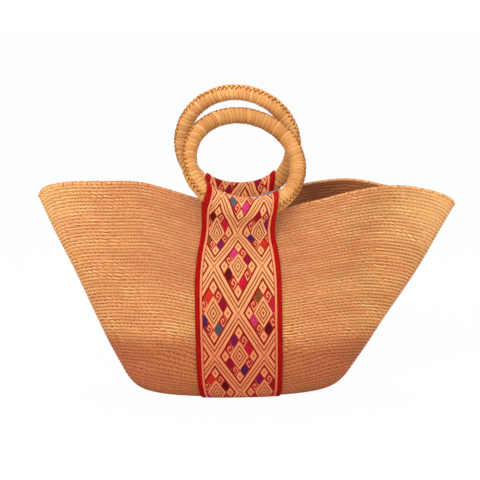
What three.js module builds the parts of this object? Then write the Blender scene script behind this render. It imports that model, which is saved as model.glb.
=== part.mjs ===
// Market bag of plaited palm leaf: a flared oval basket, a brocade sash that runs up the front,
// under the base and up the back, and two wrapped ring handles held in the folded ends of the sash.
// Millimetres, +Z up, +X along the mouth, -Y the front.

import * as THREE from 'three';

// Running gap between pieces that touch
const GAP = 0.35;
// Gap between cloth and the plaited wall that it lies on
const SASH_GAP = 0.6;

// Base: a flat oval of coiled braid
const BASE_CENTRE_X = -14.6;
const BASE_HALF_LENGTH = 114;
const BASE_HALF_WIDTH = 52;
const PLAIT_THICKNESS = 3;

// Foot: where the wall's straight part would meet the floor, and how high its rounded corner climbs
const FOOT_HALF_LENGTH = 131.4;
const FOOT_HALF_WIDTH = 67;
const CORNER_RISE_END = 28;
const CORNER_RISE_SIDE = 70;
const OVAL_POWER = 2.35;
// How far the wall bellies out at its left and right ends, halfway up its straight part
const LEFT_BULGE = 2.2;
const RIGHT_BULGE = 4;
// The soft wall's slow unevenness: its depth, the two bands of height in which it fades out, and
// for each wave the waves round the bag, the radians up the wall and the start
const SLUMP_DEPTH = 0.45;
const SLUMP_FADE_LOW = [0.08, 0.3];
const SLUMP_FADE_HIGH = [0.7, 0.97];
const SLUMP_WAVES = [[5, 7, 0], [9, -5, 1.3], [13, 11, 4]];
// The deeper valleys between courses of braid
const COURSE_VALLEY_DEPTH = 0.8;
const COURSE_VALLEY_HALF_WIDTH = 2;

// Mouth: [distance from the middle plane, height] of the rim every 15 degrees from the left tip
// to the right tip, along the front and along the back
const MOUTH_HALF_SPAN = 259;
const LEFT_TIP_HEIGHT = 246;
const RIGHT_TIP_HEIGHT = 230;
const TIP_RADIUS = 5.4;
const FRONT_RIM = [
  [5.4, 255.5], [6, 261.5], [6.5, 262], [11, 261.3], [39, 248], [45, 230], [45.5, 241.2],
  [42, 255], [15.5, 256], [6.5, 249], [5.4, 239.5],
];
const BACK_RIM = [
  [5.4, 255.5], [6, 261], [6.5, 261.5], [13, 258], [41, 234], [45, 231], [45.5, 248.5],
  [38, 256.5], [8, 251], [6, 245], [5.4, 237.5],
];
const EDGING_HEIGHT = 4.6;
const EDGING_THICKNESS = 5;

// Sash: brocade field with a red binding on each long edge. Its middle line drifts sideways from
// the base to the two necks, where it is drawn in and sewn under the rings.
const SASH_BASE_X = -11.5;
const FRONT_NECK_X = -15;
const BACK_NECK_X = -9;
const SASH_WIDTH_MIDDLE = 106;
const SASH_WIDTH_NECK = 88;
const SASH_WIDTH_BASE = 94;
const BINDING_WIDTH = 6;
const CLOTH_THICKNESS = 1.6;
const BINDING_THICKNESS = 2.2;
const NECK_HEIGHT = 208;
const LINING_WIDTH = 96;
const LINING_DEPTH = 74;
const LINING_THICKNESS = 0.9;

// Ring handles
const WRAP_RADIUS = 10;
const WRAP_RIBS = 68;
const RIB_DEPTH = 0.7;
const WRAP_WALL = 2.6;
const RING_CLEARANCE = 0.9;
const CREST_ROUNDING = 3;
const LOOP_WIDTH = 86;
// The front ring leans by its own angle, or less if it would come nearer the back one than this
const RING_GAP = 1;
const FRONT_HANDLE = {
  side: 'front', outward: -1, ringRadius: 67.5, bottomX: 1, bottomHeight: 239.5,
  lean: 40.7, yaw: 10.8, standOff: 12, loopX: -10, slack: 5, slackRight: 1,
};
const BACK_HANDLE = {
  side: 'back', outward: 1, ringRadius: 70.5, bottomX: -7.7, bottomHeight: 233.4,
  lean: 16.2, yaw: -8.5, standOff: 12.6, loopX: -5.8, slack: 4, slackRight: 0,
};

// Facets
const ROUND_STEPS = 72;
const CORNER_ROWS = 5;
const STRAIGHT_ROWS = 4;
const SASH_STEPS_ACROSS = 6;
const LOOP_STEPS_ACROSS = 10;
const LOOP_STEPS_ROUND = 22;
const TUBE_SIDES = 8;
const RIBS_PER_BORE_STEP = 2;
const CENTRE_LINE_STEPS = 240;
const BORE_STEPS = Math.round(WRAP_RIBS / RIBS_PER_BORE_STEP);
const LOOP_DIRECTIONS = 90;
const EDGING_ROWS = 3;
const LINING_ROWS = 3;
const LINING_TOP_ROWS = 3;

const UNDERSIDE = CLOTH_THICKNESS + GAP;
const NECK_CLEARANCE = BINDING_THICKNESS + 2 * GAP;
const RIM_KEY_STEP = Math.PI / (FRONT_RIM.length + 1);
const SEARCH_PRECISION = 1e-8;

const materials = {
  palm: new THREE.MeshStandardMaterial({ color: 0xd8965c, roughness: 0.75, metalness: 0 }),
  wrap: new THREE.MeshStandardMaterial({ color: 0xdda163, roughness: 0.65, metalness: 0 }),
  core: new THREE.MeshStandardMaterial({ color: 0xb08a5a, roughness: 0.8, metalness: 0 }),
  brocade: new THREE.MeshStandardMaterial({ color: 0xe9a26c, roughness: 0.85, metalness: 0 }),
  binding: new THREE.MeshStandardMaterial({ color: 0xb3160e, roughness: 0.8, metalness: 0 }),
  lining: new THREE.MeshStandardMaterial({ color: 0xa89aa6, roughness: 0.85, metalness: 0 }),
};

// A point of an oval with the bag's corner fullness. The angle runs from the left end through the
// front and the right end to the back.
function oval(angle, halfLength, halfWidth) {
  const power = 2 / OVAL_POWER;
  const c = Math.cos(angle);
  const s = Math.sin(angle);
  return new THREE.Vector3(
    BASE_CENTRE_X - halfLength * Math.sign(c) * Math.abs(c) ** power,
    -halfWidth * Math.sign(s) * Math.abs(s) ** power,
    UNDERSIDE,
  );
}

function rimKeys() {
  const keys = [[0, LEFT_TIP_HEIGHT]];
  FRONT_RIM.forEach(([out, height]) => keys.push([-out, height]));
  keys.push([0, RIGHT_TIP_HEIGHT]);
  [...BACK_RIM].reverse().forEach(([out, height]) => keys.push([out, height]));
  return keys.map(([y, z], i) => {
    const x = -MOUTH_HALF_SPAN * Math.cos(i * RIM_KEY_STEP);
    return new THREE.Vector3(x, y, z + UNDERSIDE);
  });
}

const rimCurve = new THREE.CatmullRomCurve3(rimKeys(), true, 'catmullrom', 0.5);

// A point of the mouth's edge, whose two ends are rounded
function rim(angle) {
  const turn = angle / (2 * Math.PI);
  const point = rimCurve.getPoint(turn - Math.floor(turn));
  const inset = THREE.MathUtils.clamp(MOUTH_HALF_SPAN - Math.abs(point.x), 0, TIP_RADIUS);
  const side = -Math.sign(Math.sin(angle));
  point.y = side * Math.max(side * point.y, Math.sqrt(inset * (2 * TIP_RADIUS - inset)));
  return point;
}

// The rounded corner's three control points, the rim and the two lengths of the wall at an angle
function wallProfile(angle) {
  const edge = oval(angle, BASE_HALF_LENGTH, BASE_HALF_WIDTH);
  const foot = oval(angle, FOOT_HALF_LENGTH, FOOT_HALF_WIDTH);
  const top = rim(angle);
  const side = Math.sin(angle) ** 2;
  const rise = CORNER_RISE_END + (CORNER_RISE_SIDE - CORNER_RISE_END) * side;
  const knee = foot.clone().add(top.clone().sub(foot).setLength(rise));
  const corner = 0.5 * (edge.distanceTo(foot) + rise + edge.distanceTo(knee));
  const straight = knee.distanceTo(top);
  return { edge, foot, knee, top, corner, straight, length: corner + straight };
}

// A point of the wall's outer face: travel is the distance along the wall from the base's edge
function wallFace(angle, travel) {
  const p = wallProfile(angle);
  if (travel <= p.corner) {
    const s = travel / p.corner;
    const point = p.edge.clone().multiplyScalar((1 - s) ** 2);
    point.addScaledVector(p.foot, 2 * s * (1 - s));
    return point.addScaledVector(p.knee, s * s);
  }
  const t = (travel - p.corner) / p.straight;
  const point = p.knee.clone().lerp(p.top, t);
  const end = Math.cos(angle);
  const bulge = (end > 0 ? -LEFT_BULGE : RIGHT_BULGE) * end ** 4;
  point.x += bulge * 4 * t * (1 - t);
  return point;
}

function wallLength(angle) {
  return wallProfile(angle).length;
}

// The outward direction, from points a little way round the wall and up it
const NORMAL_TURN = 0.004;
const NORMAL_STEP = 1;

function faceNormal(angle, travel) {
  const low = Math.max(travel - NORMAL_STEP / 2, 0);
  const along = wallFace(angle, low + NORMAL_STEP).sub(wallFace(angle, low));
  const round = wallFace(angle + NORMAL_TURN, travel).sub(wallFace(angle - NORMAL_TURN, travel));
  return round.cross(along).normalize();
}

function slump(angle, travel) {
  const share = travel / wallLength(angle);
  const risen = THREE.MathUtils.smoothstep(share, ...SLUMP_FADE_LOW);
  const fading = 1 - THREE.MathUtils.smoothstep(share, ...SLUMP_FADE_HIGH);
  const waves = SLUMP_WAVES.map(([round, up, start]) => Math.sin(round * angle + up * share + start));
  return SLUMP_DEPTH * risen * fading * waves.reduce((sum, wave) => sum + wave, 0);
}

// A point off the outer face: positive is outside the bag
function offFace(angle, travel, offset) {
  const lift = offset + slump(angle, travel);
  return wallFace(angle, travel).addScaledVector(faceNormal(angle, travel), lift);
}

// The value between low and high up to which a test holds
function lastWhere(low, high, holds) {
  const middle = (low + high) / 2;
  if (high - low < SEARCH_PRECISION) return middle;
  return holds(middle) ? lastWhere(middle, high, holds) : lastWhere(low, middle, holds);
}

// The angle at which the front (or back) face has a given X at a given travel
function angleAtX(x, travel, outward) {
  return -outward * lastWhere(0, Math.PI, (angle) => wallFace(-outward * angle, travel).x < x);
}

function travelAtHeight(x, height, outward) {
  const longest = LEFT_TIP_HEIGHT + MOUTH_HALF_SPAN;
  return lastWhere(0, longest, (travel) => wallFace(angleAtX(x, travel, outward), travel).z < height);
}

function meshOf(name, material, vertices, triangles) {
  const geometry = new THREE.BufferGeometry();
  const coordinates = vertices.flatMap((v) => [v.x, v.y, v.z]);
  geometry.setAttribute('position', new THREE.Float32BufferAttribute(coordinates, 3));
  geometry.setIndex(triangles);
  geometry.computeVertexNormals();
  const mesh = new THREE.Mesh(geometry, material);
  mesh.name = name;
  return mesh;
}

// A thick sheet: point(u, v, side) gives its outer face for side 1 and its inner face for side 0.
// Seen from outside, u runs to the right and v upwards. A closed sheet joins up in u.
function thickSheet(name, material, uSteps, vSteps, closed, point) {
  const columns = closed ? uSteps : uSteps + 1;
  const rows = vSteps + 1;
  const vertices = [];
  [1, 0].forEach((side) => {
    for (let i = 0; i < columns; i += 1) {
      for (let j = 0; j < rows; j += 1) vertices.push(point(i / uSteps, j / vSteps, side));
    }
  });
  const at = (i, j, side) => (side ? 0 : columns * rows) + (i % columns) * rows + j;
  const triangles = [];
  const quad = (a, b, c, d) => triangles.push(a, b, c, a, c, d);
  for (let i = 0; i < uSteps; i += 1) {
    for (let j = 0; j < vSteps; j += 1) {
      quad(at(i, j, 1), at(i + 1, j, 1), at(i + 1, j + 1, 1), at(i, j + 1, 1));
      quad(at(i, j, 0), at(i, j + 1, 0), at(i + 1, j + 1, 0), at(i + 1, j, 0));
    }
    quad(at(i, 0, 0), at(i + 1, 0, 0), at(i + 1, 0, 1), at(i, 0, 1));
    quad(at(i, vSteps, 1), at(i + 1, vSteps, 1), at(i + 1, vSteps, 0), at(i, vSteps, 0));
  }
  if (!closed) {
    for (let j = 0; j < vSteps; j += 1) {
      quad(at(0, j, 0), at(0, j, 1), at(0, j + 1, 1), at(0, j + 1, 0));
      quad(at(uSteps, j, 1), at(uSteps, j, 0), at(uSteps, j + 1, 0), at(uSteps, j + 1, 1));
    }
  }
  return meshOf(name, material, vertices, triangles);
}

function base() {
  const outline = [];
  for (let i = 0; i < ROUND_STEPS; i += 1) {
    const angle = (2 * Math.PI * i) / ROUND_STEPS;
    const p = oval(angle, BASE_HALF_LENGTH - GAP, BASE_HALF_WIDTH - GAP);
    outline.push(new THREE.Vector2(p.x, p.y));
  }
  const geometry = new THREE.ExtrudeGeometry(new THREE.Shape(outline), {
    depth: PLAIT_THICKNESS,
    bevelEnabled: false,
    steps: 1,
  });
  const mesh = new THREE.Mesh(geometry, materials.palm);
  mesh.name = 'base';
  mesh.position.z = UNDERSIDE;
  return mesh;
}

// How far up the wall a row of facets lies: the rows are closer together on the rounded corner
function rowTravel(row, corner, total) {
  if (row <= CORNER_ROWS) return (corner * row) / CORNER_ROWS;
  return corner + ((total - corner) * (row - CORNER_ROWS)) / STRAIGHT_ROWS;
}

// The wall's rows of facets. The straight part's own rows are valleys between two courses.
function wallRows() {
  const rows = [];
  for (let row = 0; row <= CORNER_ROWS + STRAIGHT_ROWS; row += 1) {
    if (row < CORNER_ROWS || row === CORNER_ROWS + STRAIGHT_ROWS) {
      rows.push({ row, shift: 0, depth: 0 });
    } else {
      rows.push({ row, shift: -COURSE_VALLEY_HALF_WIDTH, depth: 0 });
      rows.push({ row, shift: 0, depth: COURSE_VALLEY_DEPTH });
      rows.push({ row, shift: COURSE_VALLEY_HALF_WIDTH, depth: 0 });
    }
  }
  return rows;
}

function wall() {
  const rows = wallRows();
  const steps = rows.length - 1;
  return thickSheet('wall', materials.palm, ROUND_STEPS, steps, true, (u, v, side) => {
    const angle = 2 * Math.PI * u;
    const { corner, length } = wallProfile(angle);
    const { row, shift, depth } = rows[Math.round(v * steps)];
    const travel = rowTravel(row, corner, length - EDGING_HEIGHT - 2 * GAP) + shift;
    return offFace(angle, travel, side ? -depth : -PLAIT_THICKNESS);
  });
}

// The overcast last course: a rounded bead along the mouth
function rimEdging() {
  return thickSheet('rim_edging', materials.palm, ROUND_STEPS, EDGING_ROWS, true, (u, v, side) => {
    const angle = 2 * Math.PI * u;
    const travel = wallLength(angle) - EDGING_HEIGHT * (1 - v);
    const swell = 0.5 * (EDGING_THICKNESS - PLAIT_THICKNESS) * Math.sin(Math.PI * v);
    return offFace(angle, travel, side ? swell : -PLAIT_THICKNESS - swell);
  });
}

function neckX(outward) {
  return outward < 0 ? FRONT_NECK_X : BACK_NECK_X;
}

// The sash's middle and width at a share of the way from the base's edge to its neck
function sashMiddle(outward, share) {
  return neckX(outward) + (SASH_BASE_X - neckX(outward)) * (1 - share) ** 3;
}

function sashWidth(share) {
  const ends = SASH_WIDTH_BASE + (SASH_WIDTH_NECK - SASH_WIDTH_BASE) * share;
  const fullness = Math.sin(Math.PI * share);
  return ends + (SASH_WIDTH_MIDDLE - ends) * fullness * (2 - fullness);
}

// The sash's three strips side by side: where each starts and ends across a given width
const strips = {
  left: {
    material: materials.binding,
    from: (width) => -width / 2,
    to: (width) => -width / 2 + BINDING_WIDTH - GAP,
  },
  field: {
    material: materials.brocade,
    from: (width) => -width / 2 + BINDING_WIDTH,
    to: (width) => width / 2 - BINDING_WIDTH,
  },
  right: {
    material: materials.binding,
    from: (width) => width / 2 - BINDING_WIDTH + GAP,
    to: (width) => width / 2,
  },
};

function stripName(run, strip) {
  return strip === 'field' ? `sash_${run}` : `binding_${run}_${strip}`;
}

function stripThickness(strip) {
  return strip === 'field' ? CLOTH_THICKNESS : BINDING_THICKNESS;
}

// A strip of the sash lying on the front or back wall, from the base's edge to the neck
function wallRun(side, outward, strip) {
  const { material, from, to } = strips[strip];
  const total = travelAtHeight(neckX(outward), NECK_HEIGHT - NECK_CLEARANCE, outward);
  const steps = strip === 'field' ? SASH_STEPS_ACROSS : 1;
  const rows = CORNER_ROWS + STRAIGHT_ROWS;
  const { corner } = wallProfile(angleAtX(neckX(outward), 0, outward));
  return thickSheet(stripName(side, strip), material, steps, rows, false, (u, v, outer) => {
    const travel = rowTravel(v * rows, corner, total);
    const width = sashWidth(travel / total);
    const share = outward < 0 ? u : 1 - u;
    const x = sashMiddle(outward, travel / total) + from(width) + (to(width) - from(width)) * share;
    const swell = (stripThickness(strip) - CLOTH_THICKNESS) * Math.min(1, travel / CORNER_RISE_END);
    const offset = SASH_GAP + (outer ? CLOTH_THICKNESS + swell : 0);
    return offFace(angleAtX(x, travel, outward), travel, offset);
  });
}

// A strip of the sash under the base, from the back edge to the front edge
function baseRun(strip) {
  const { material, from, to } = strips[strip];
  const width = SASH_WIDTH_BASE;
  return thickSheet(stripName('base', strip), material, 1, 1, false, (u, v, outer) => {
    const x = SASH_BASE_X + from(width) + (to(width) - from(width)) * u;
    const reach = Math.abs(wallFace(angleAtX(x, 0, -1), 0).y) - 2 * GAP;
    return new THREE.Vector3(x, reach * (1 - 2 * v), outer ? 0 : CLOTH_THICKNESS);
  });
}

// The lining patch inside the wall, behind the top of the sash, up to the top of the rim edging
function lining(side, outward) {
  const name = `lining_${side}`;
  const rows = LINING_ROWS + LINING_TOP_ROWS;
  const bulge = 0.5 * (EDGING_THICKNESS - PLAIT_THICKNESS);
  return thickSheet(name, materials.lining, SASH_STEPS_ACROSS, rows, false, (u, v, outer) => {
    const share = outward < 0 ? u : 1 - u;
    const x = neckX(outward) + LINING_WIDTH * (share - 0.5);
    const angle = angleAtX(x, wallLength(outward * -Math.PI / 2), outward);
    const row = Math.round(v * rows);
    const low = LINING_DEPTH + (2 * EDGING_HEIGHT - LINING_DEPTH) * (row / LINING_ROWS);
    const high = EDGING_HEIGHT * (1 - (row - LINING_ROWS - 1) / (LINING_TOP_ROWS - 1));
    const travel = wallLength(angle) - (row > LINING_ROWS ? high : low);
    const swell = row > LINING_ROWS ? bulge : 0;
    const depth = PLAIT_THICKNESS + 2 * SASH_GAP + swell + (outer ? 0 : LINING_THICKNESS);
    return offFace(angleAtX(x, travel, outward), travel, -depth);
  });
}

// Where a ring stands: its centre, its sideways and upward directions and its axis
function ringFrame(handle) {
  const turn = new THREE.Quaternion()
    .setFromAxisAngle(new THREE.Vector3(0, 0, 1), THREE.MathUtils.degToRad(handle.yaw))
    .multiply(new THREE.Quaternion().setFromAxisAngle(
      new THREE.Vector3(1, 0, 0),
      THREE.MathUtils.degToRad(handle.outward * handle.lean),
    ));
  const across = new THREE.Vector3(1, 0, 0).applyQuaternion(turn);
  const up = new THREE.Vector3(0, 0, 1).applyQuaternion(turn);
  const axis = new THREE.Vector3(0, -1, 0).applyQuaternion(turn);
  const travel = travelAtHeight(neckX(handle.outward), NECK_HEIGHT, handle.outward);
  const face = wallFace(angleAtX(handle.bottomX, travel, handle.outward), travel).y;
  const bottom = new THREE.Vector3(
    handle.bottomX,
    face + handle.outward * (CLOTH_THICKNESS + handle.standOff + WRAP_RADIUS),
    handle.bottomHeight,
  );
  return { turn, across, up, axis, bottom, centre: bottom.clone().addScaledVector(up, handle.ringRadius) };
}

// A point of a ring's skin: round the ring from its lowest point, and round its tube from outside
function ringPoint(frame, ringRadius, tubeRadius, roundRing, roundTube) {
  const reach = ringRadius + tubeRadius * Math.cos(roundTube);
  return frame.centre.clone()
    .addScaledVector(frame.across, reach * Math.sin(roundRing))
    .addScaledVector(frame.up, -reach * Math.cos(roundRing))
    .addScaledVector(frame.axis, tubeRadius * Math.sin(roundTube));
}

function centreLine(handle) {
  const frame = ringFrame(handle);
  return Array.from({ length: CENTRE_LINE_STEPS }, (_, i) => (
    ringPoint(frame, handle.ringRadius, 0, (2 * Math.PI * i) / CENTRE_LINE_STEPS, 0)
  ));
}

// How far a ring leans: its own lean, unless it meets the other ring before
function leanBefore(handle, other) {
  const still = centreLine(other);
  return lastWhere(0, handle.lean, (lean) => {
    const line = centreLine({ ...handle, lean });
    const nearest = Math.min(...line.map((p) => Math.min(...still.map((q) => p.distanceTo(q)))));
    return nearest > 2 * WRAP_RADIUS + RING_GAP;
  });
}

// The ring's cut by the plane at one X, near the bottom of the ring
function ringCut(frame, handle, x) {
  const tilt = Math.hypot(frame.across.x, frame.up.x);
  const start = Math.atan2(frame.up.x, frame.across.x);
  const cut = [];
  for (let i = 0; i < LOOP_STEPS_ROUND; i += 1) {
    const roundTube = (2 * Math.PI * i) / LOOP_STEPS_ROUND;
    const reach = handle.ringRadius + WRAP_RADIUS * Math.cos(roundTube);
    const away = x - frame.centre.x - WRAP_RADIUS * Math.sin(roundTube) * frame.axis.x;
    const sine = THREE.MathUtils.clamp(away / (reach * tilt), -1, 1);
    cut.push(ringPoint(frame, handle.ringRadius, WRAP_RADIUS, start + Math.asin(sine), roundTube));
  }
  return cut;
}

// The sash's tunnel round the ring, cut at one X: the taut line round the ring, its slack crest and
// the seam at the neck, as a middle point and a distance for each direction
function loopCut(frame, handle, x, thickness, padding) {
  const cut = ringCut(frame, handle, x);
  const middle = cut.reduce((sum, p) => sum.add(p), new THREE.Vector3()).divideScalar(cut.length);
  const travel = travelAtHeight(x, NECK_HEIGHT, handle.outward);
  const face = wallFace(angleAtX(x, travel, handle.outward), travel);
  const neck = new THREE.Vector3(x, face.y + handle.outward * (thickness + 2 * GAP), NECK_HEIGHT);
  const lift = frame.up.clone().setX(0).normalize();
  const side = (x - handle.loopX) / (LOOP_WIDTH / 2);
  const slack = handle.slack * (1 - side * side) + handle.slackRight * Math.max(0, side);
  const reach = Math.max(...cut.map((p) => p.clone().sub(middle).dot(lift)));
  const crest = middle.clone().addScaledVector(lift, reach + RING_CLEARANCE + slack - CREST_ROUNDING);
  const points = cut.map((p) => [p, RING_CLEARANCE]);
  points.push([crest, CREST_ROUNDING], [neck, 0]);
  const first = Math.atan2(neck.z - middle.z, neck.y - middle.y);
  const support = [];
  for (let i = 0; i < LOOP_DIRECTIONS; i += 1) {
    const angle = first + (2 * Math.PI * i) / LOOP_DIRECTIONS;
    const facing = new THREE.Vector3(0, Math.cos(angle), Math.sin(angle));
    const far = Math.max(...points.map(([p, room]) => p.clone().sub(middle).dot(facing) + room));
    support.push([angle, far + padding]);
  }
  return { middle, first, support };
}

// Directions turned further than this from a point of the tunnel don't bound it
const LEAST_COSINE = 0.05;

function loopPoint(frame, handle, x, share, thickness, padding) {
  const { middle, first, support } = loopCut(frame, handle, x, thickness, padding);
  const angle = first + 2 * Math.PI * share;
  let distance = Infinity;
  support.forEach(([facing, far]) => {
    const cosine = Math.cos(facing - angle);
    if (cosine > LEAST_COSINE) distance = Math.min(distance, far / cosine);
  });
  return new THREE.Vector3(x, middle.y + distance * Math.cos(angle), middle.z + distance * Math.sin(angle));
}

// A strip of the sash folded over the ring and sewn to itself at the neck, where it is as wide as
// the sash below
function loop(handle, strip) {
  const { material, from, to } = strips[strip];
  const frame = ringFrame(handle);
  const thickness = stripThickness(strip);
  const steps = strip === 'field' ? LOOP_STEPS_ACROSS : 1;
  const name = stripName(`${handle.side}_loop`, strip);
  return thickSheet(name, material, LOOP_STEPS_ROUND, steps, true, (u, v, outer) => {
    const [crest, neck] = [[handle.loopX, LOOP_WIDTH], [neckX(handle.outward), SASH_WIDTH_NECK]]
      .map(([middle, width]) => middle + from(width) + (to(width) - from(width)) * v);
    const x = crest + (neck - crest) * 0.5 * (1 + Math.cos(2 * Math.PI * u));
    return loopPoint(frame, handle, x, u, thickness, outer ? thickness : 0);
  });
}

// A closed skin over rings of points, each joined to the next and the last to the first
function ringSkin(name, material, rings) {
  const triangles = [];
  rings.forEach((_, i) => {
    const next = (i + 1) % rings.length;
    for (let j = 0; j < TUBE_SIDES; j += 1) {
      const side = (j + 1) % TUBE_SIDES;
      const [a, b] = [i * TUBE_SIDES + j, i * TUBE_SIDES + side];
      const [c, d] = [next * TUBE_SIDES + side, next * TUBE_SIDES + j];
      triangles.push(a, b, c, a, c, d);
    }
  });
  return meshOf(name, material, rings.flat(), triangles);
}

// The points round a ring's tube at one angle round the ring
function tubeRing(frame, handle, roundRing, radius) {
  return Array.from({ length: TUBE_SIDES }, (_, i) => ringPoint(
    frame, handle.ringRadius, radius, roundRing, (-2 * Math.PI * i) / TUBE_SIDES,
  ));
}

function ringCore(handle) {
  const frame = ringFrame(handle);
  const radius = WRAP_RADIUS - RIB_DEPTH - WRAP_WALL - GAP;
  const rings = Array.from({ length: BORE_STEPS }, (_, i) => (
    tubeRing(frame, handle, (2 * Math.PI * i) / BORE_STEPS, radius)
  ));
  return ringSkin(`ring_core_${handle.side}`, materials.core, rings);
}

// The palm-leaf wrap: a ribbed sleeve round the core, whose two ends meet under the sash
function ringWrap(handle) {
  const frame = ringFrame(handle);
  const slit = GAP / handle.ringRadius;
  const rings = [];
  const addRing = (share, radius) => {
    rings.push(tubeRing(frame, handle, slit + (2 * Math.PI - 2 * slit) * share, radius));
  };
  for (let i = 0; i <= 2 * WRAP_RIBS; i += 1) {
    addRing(i / (2 * WRAP_RIBS), WRAP_RADIUS - (i % 2 ? 0 : RIB_DEPTH));
  }
  for (let i = BORE_STEPS; i >= 0; i -= 1) {
    addRing(i / BORE_STEPS, WRAP_RADIUS - RIB_DEPTH - WRAP_WALL);
  }
  return ringSkin(`ring_wrap_${handle.side}`, materials.wrap, rings);
}

const bag = new THREE.Group();
bag.add(base(), wall(), rimEdging());
Object.keys(strips).forEach((strip) => {
  bag.add(wallRun('front', -1, strip), baseRun(strip), wallRun('back', 1, strip));
});
bag.add(lining('front', -1), lining('back', 1));
const frontHandle = { ...FRONT_HANDLE, lean: leanBefore(FRONT_HANDLE, BACK_HANDLE) };
[frontHandle, BACK_HANDLE].forEach((handle) => {
  Object.keys(strips).forEach((strip) => bag.add(loop(handle, strip)));
  bag.add(ringCore(handle), ringWrap(handle));
});

// The origin is at the bottom centre of the whole bag
bag.updateMatrixWorld(true);
const bounds = new THREE.Box3().setFromObject(bag, true);
const middle = bounds.getCenter(new THREE.Vector3());
bag.position.set(-middle.x, -middle.y, -bounds.min.z);

export default bag;
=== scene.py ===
# Looks of the market bag: plaited palm leaf, a brocade sash and two wound ring handles.
# Shapes are worked out in millimetres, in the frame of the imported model: +X along the mouth,
# to the right as seen from the front, +Z up, -Y the front.

import math

import bmesh
import bpy
import numpy as np
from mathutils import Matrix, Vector


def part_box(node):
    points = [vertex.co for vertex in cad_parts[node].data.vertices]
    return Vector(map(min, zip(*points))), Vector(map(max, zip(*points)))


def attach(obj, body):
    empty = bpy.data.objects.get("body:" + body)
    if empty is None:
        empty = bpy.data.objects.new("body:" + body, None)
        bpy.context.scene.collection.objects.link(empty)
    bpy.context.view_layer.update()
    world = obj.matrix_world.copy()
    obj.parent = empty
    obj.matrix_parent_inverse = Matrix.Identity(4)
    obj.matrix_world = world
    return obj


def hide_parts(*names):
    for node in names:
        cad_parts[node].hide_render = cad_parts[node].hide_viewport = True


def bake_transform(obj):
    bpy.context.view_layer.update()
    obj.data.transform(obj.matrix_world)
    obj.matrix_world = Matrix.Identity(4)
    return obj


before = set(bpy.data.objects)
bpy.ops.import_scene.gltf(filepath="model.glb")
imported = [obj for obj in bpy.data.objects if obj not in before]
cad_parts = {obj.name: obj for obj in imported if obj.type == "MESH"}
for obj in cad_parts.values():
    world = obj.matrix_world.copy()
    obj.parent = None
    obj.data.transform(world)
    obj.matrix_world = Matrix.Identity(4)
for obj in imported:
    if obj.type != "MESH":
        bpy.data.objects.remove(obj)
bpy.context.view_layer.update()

MM = 0.001
TURN = 2 * math.pi

# Sizes shared with the solids
GAP = 0.35
SASH_GAP = 0.6
BASE_CENTRE_X = -14.6
BASE_HALF_LENGTH = 114
BASE_HALF_WIDTH = 52
PLAIT_THICKNESS = 3
FOOT_HALF_LENGTH = 131.4
FOOT_HALF_WIDTH = 67
CORNER_RISE_END = 28
CORNER_RISE_SIDE = 70
OVAL_POWER = 2.35
LEFT_BULGE = 2.2
RIGHT_BULGE = 4
SLUMP_DEPTH = 0.45
LONGEST_WALL = 400
MOUTH_HALF_SPAN = 259
LEFT_TIP_HEIGHT = 246
RIGHT_TIP_HEIGHT = 230
TIP_RADIUS = 5.4
FRONT_RIM = [
    (5.4, 255.5), (6, 261.5), (6.5, 262), (11, 261.3), (39, 248), (45, 230), (45.5, 241.2),
    (42, 255), (15.5, 256), (6.5, 249), (5.4, 239.5),
]
BACK_RIM = [
    (5.4, 255.5), (6, 261), (6.5, 261.5), (13, 258), (41, 234), (45, 231), (45.5, 248.5),
    (38, 256.5), (8, 251), (6, 245), (5.4, 237.5),
]
EDGING_HEIGHT = 4.6
EDGING_THICKNESS = 5
SASH_BASE_X = -11.5
FRONT_NECK_X = -15
BACK_NECK_X = -9
SASH_WIDTH_MIDDLE = 106
SASH_WIDTH_NECK = 88
SASH_WIDTH_BASE = 94
BINDING_WIDTH = 6
CLOTH_THICKNESS = 1.6
BINDING_THICKNESS = 2.2
NECK_HEIGHT = 208
NECK_BLEND = 5
LINING_WIDTH = 96
LINING_DEPTH = 74
LINING_RISE = 1.8
LINING_THICKNESS = 0.9
WRAP_RADIUS = 10
RING_CLEARANCE = 0.9
CREST_ROUNDING = 3
LOOP_WIDTH = 86
UNDERSIDE = CLOTH_THICKNESS + GAP
NECK_CLEARANCE = BINDING_THICKNESS + 2 * GAP

FRONT = {
    "side": "front", "outward": -1, "ring": 67.5, "bottom_x": 1, "bottom_z": 239.5,
    "lean": 40.7, "yaw": 10.8, "stand_off": 12, "loop_x": -10, "slack": 5, "slack_right": 1,
    "pivot": -52.1, "seam": 40, "leaf_seed": 7, "seam_seed": 3,
}
BACK = {
    "side": "back", "outward": 1, "ring": 70.5, "bottom_x": -7.7, "bottom_z": 233.4,
    "lean": 16.2, "yaw": -8.5, "stand_off": 12.6, "loop_x": -5.8, "slack": 4, "slack_right": 0,
    "pivot": 50.9, "seam": 26, "leaf_seed": 11, "seam_seed": 5,
}

# How finely each piece is drawn, and the sizes of what is seen up close
COURSES = 65
WALL_COLUMNS = 240
COURSE_RIDGE = (-0.5, 0.2, 0.35, 0.2)
INNER_RIDGE = (0.3, -0.2)
INNER_COURSE = 1000
BASE_COLUMNS = 144
BASE_COURSE_WIDTH = 4
BASE_RIDGE = (0, 0.25, 0.35, 0.25)
BASE_ROUNDING = 0.4
EDGING_WRAPS = 250
EDGING_SAMPLES = 4
EDGING_STEPS_ROUND = 12
EDGING_OVERLAP = 1.2
EDGING_BUMP = 0.22
EDGING_INSET = 0.2
EDGING_STITCH = 15
LEAF_WIDTH = 5.4
LEAF_SAMPLES = 7
LEAF_INSET = 0.5
LEAF_LIFT = 0.55
LEAF_GROOVE = 0.7
TUBE_STEPS = 30
RUN_STEPS = 150
LINE_STEPS = 420
EASINGS = 10
# A small turn, for directions along the wall
NUDGE = 0.004

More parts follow.
